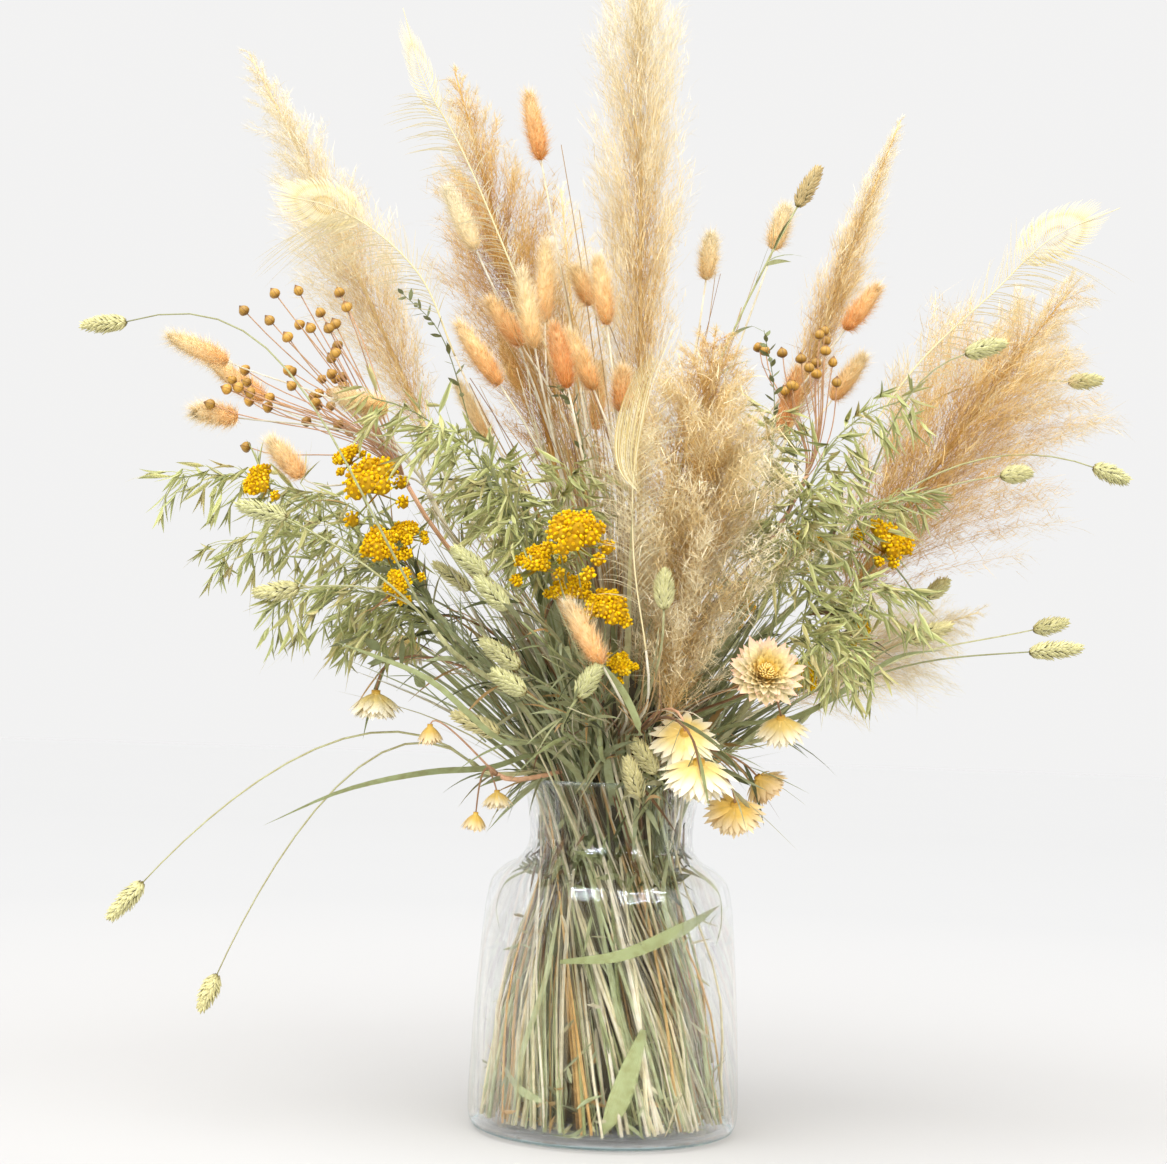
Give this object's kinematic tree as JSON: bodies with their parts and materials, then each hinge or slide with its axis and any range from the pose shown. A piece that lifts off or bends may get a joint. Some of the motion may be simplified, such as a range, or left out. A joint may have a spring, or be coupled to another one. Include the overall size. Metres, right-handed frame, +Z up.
{
  "type": "vase of dried flowers",
  "caption": "Clear glass churn vase holding a tall, wide bunch of dried grasses, pampas plumes, bleached feathers and small dried flowers; stands on its flat base.",
  "frame": {"origin": "centre of the vase's underside, on the surface that it stands on", "axes": "+Z up along the vase's axis, -Y towards the front of the arrangement, +X to the front's right"},
  "size_m": [0.769, 0.491, 0.9003],
  "materials": {
    "glass": "gloss",
    "stem": "matte",
    "bunny_tail": "matte",
    "strawflower": "satin",
    "canary_grass": "matte",
    "everlasting": "matte",
    "flax": "satin",
    "oats": "matte",
    "feather": "satin",
    "pampas": "matte"
  },
  "bodies": {
    "root": {"vase": "glass", "stems": "stem", "bunny_tail_1": "bunny_tail", "bunny_tail_2": "bunny_tail", "bunny_tail_3": "bunny_tail", "bunny_tail_4": "bunny_tail", "bunny_tail_5": "bunny_tail", "bunny_tail_6": "bunny_tail", "bunny_tail_7": "bunny_tail", "bunny_tail_8": "bunny_tail", "bunny_tail_9": "bunny_tail", "bunny_tail_10": "bunny_tail", "bunny_tail_11": "bunny_tail", "bunny_tail_12": "bunny_tail", "bunny_tail_13": "bunny_tail", "bunny_tail_14": "bunny_tail", "bunny_tail_15": "bunny_tail", "bunny_tail_16": "bunny_tail", "bunny_tail_17": "bunny_tail", "bunny_tails_left": "bunny_tail", "bunny_tails_back": "bunny_tail", "strawflower_1": "strawflower", "strawflower_2": "strawflower", "strawflower_3": "strawflower", "strawflower_4": "strawflower", "strawflower_5": "strawflower", "strawflower_6": "strawflower", "strawflower_7": "strawflower", "strawflower_8": "strawflower", "strawflower_buds": "strawflower", "strawflowers_back": "strawflower", "canary_left": "canary_grass", "canary_low_left": "canary_grass", "canary_right": "canary_grass", "canary_low_right": "canary_grass", "everlasting_front": "everlasting", "everlasting_left": "everlasting", "everlasting_right": "everlasting", "everlasting_back": "everlasting", "flax_left": "flax", "flax_right": "flax", "oats_left": "oats", "oats_centre": "oats", "oats_right": "oats", "oats_back": "oats", "feather_1": "feather", "feather_2": "feather", "feather_3": "feather", "feather_4": "feather", "pampas_1": "pampas", "pampas_2": "pampas", "pampas_3": "pampas", "pampas_4": "pampas", "pampas_5": "pampas", "pampas_6": "pampas", "pampas_7": "pampas", "pampas_8": "pampas"}
  },
  "joints": []
}
